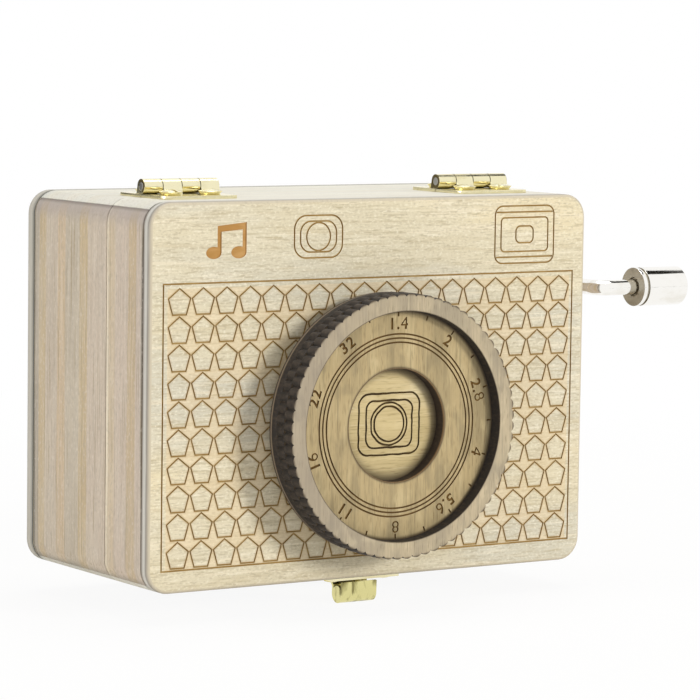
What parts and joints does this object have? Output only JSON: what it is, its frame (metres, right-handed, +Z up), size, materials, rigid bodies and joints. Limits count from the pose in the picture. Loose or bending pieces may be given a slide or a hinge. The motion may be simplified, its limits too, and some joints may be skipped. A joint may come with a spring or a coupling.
{
  "type": "hand-cranked music box",
  "caption": "Wooden music box shaped like a small camera: hinged front held by a clasp underneath, knurled disc lens, and a side crank that turns a pin cylinder beside a comb.",
  "frame": {"origin": "middle of the overall box in X and Y (crank and lens included), at the height of its lowest point, which is the clasp's curled lip under the case", "axes": "+X to the right seen from the front, along the crank shaft towards the knob; +Y from the lens to the back panel; +Z up towards the hinges"},
  "size_m": [0.1404, 0.0646, 0.0901],
  "materials": {
    "engraved_basswood": "sanded basswood board with laser-engraved brown lines",
    "boards": "sanded striped board, greyish tan",
    "back_board": "sanded basswood board",
    "lens_board": "stained thin board with burnt laser-cut edges",
    "yellow_brass": "bright brass plate",
    "pin_steel": "turned steel",
    "comb_steel": "ground spring steel",
    "movement_casting": "plated metal, satin",
    "movement_brass": "turned brass",
    "polished_nickel": "polished nickel plate"
  },
  "bodies": {
    "case": {"case_top_board": "boards", "case_bottom_board": "boards", "case_left_board": "boards", "case_right_board": "boards", "back_panel": "back_board", "crank_bush": "movement_brass", "left_hinge_rear_leaf": "yellow_brass", "right_hinge_rear_leaf": "yellow_brass", "left_hinge_pin": "pin_steel", "right_hinge_pin": "pin_steel", "hinge_rear_screws": "yellow_brass", "clasp_plate": "yellow_brass", "clasp_pin": "pin_steel", "clasp_plate_screws": "yellow_brass", "bed_plate": "movement_casting", "comb": "comb_steel", "comb_screws": "pin_steel", "lower_cylinder_bracket": "movement_casting", "upper_cylinder_bracket": "movement_casting", "left_shaft_bracket": "movement_casting", "right_shaft_bracket": "movement_casting", "bracket_screws": "pin_steel", "movement_screws": "pin_steel"},
    "lid": {"lid_top_board": "boards", "lid_bottom_board": "boards", "lid_left_board": "boards", "lid_right_board": "boards", "front_panel": "engraved_basswood", "lens_spacer_disc": "lens_board", "lens_base_disc": "lens_board", "lens_middle_plate": "lens_board", "lens_front_ring": "lens_board", "left_hinge_front_leaf": "yellow_brass", "right_hinge_front_leaf": "yellow_brass", "hinge_front_screws": "yellow_brass", "clasp_striker": "yellow_brass", "striker_screws": "yellow_brass"},
    "clasp": {"clasp_flap": "yellow_brass"},
    "cylinder": {"pin_cylinder": "movement_brass", "cylinder_end_plates": "movement_brass", "cylinder_arbor": "pin_steel", "arbor_collars": "pin_steel", "worm_wheel": "movement_brass"},
    "crank": {"worm_shaft": "pin_steel", "crank_rod": "polished_nickel", "knob_bush": "polished_nickel"},
    "knob": {"crank_knob": "polished_nickel", "knob_end_cap": "polished_nickel"}
  },
  "joints": [
    {"name": "lid_hinge", "type": "hinge", "parent": "case", "child": "lid", "pos_m": [-0.01595, -0.0021, 0.08858], "axis": [-1, 0, 0], "range_deg": [0, 180]},
    {"name": "clasp_swing", "type": "hinge", "parent": "case", "child": "clasp", "pos_m": [-0.01595, -0.0001, 0.00478], "axis": [1, 0, 0], "range_deg": [-2, 150]},
    {"name": "crank_spin", "type": "hinge", "parent": "case", "child": "crank", "pos_m": [0.02975, 0.0127, 0.06488], "axis": [1, 0, 0], "continuous": true},
    {"name": "cylinder_spin", "type": "hinge", "parent": "case", "child": "cylinder", "pos_m": [0.01345, 0.0215, 0.05128], "axis": [0, 0, 1], "continuous": true},
    {"name": "knob_spin", "type": "hinge", "parent": "crank", "child": "knob", "pos_m": [0.06375, -0.0123, 0.06488], "axis": [1, 0, 0], "continuous": true}
  ],
  "couplings": [
    {"joint": "cylinder_spin", "follows": "crank_spin", "ratio": -0.071429}
  ]
}
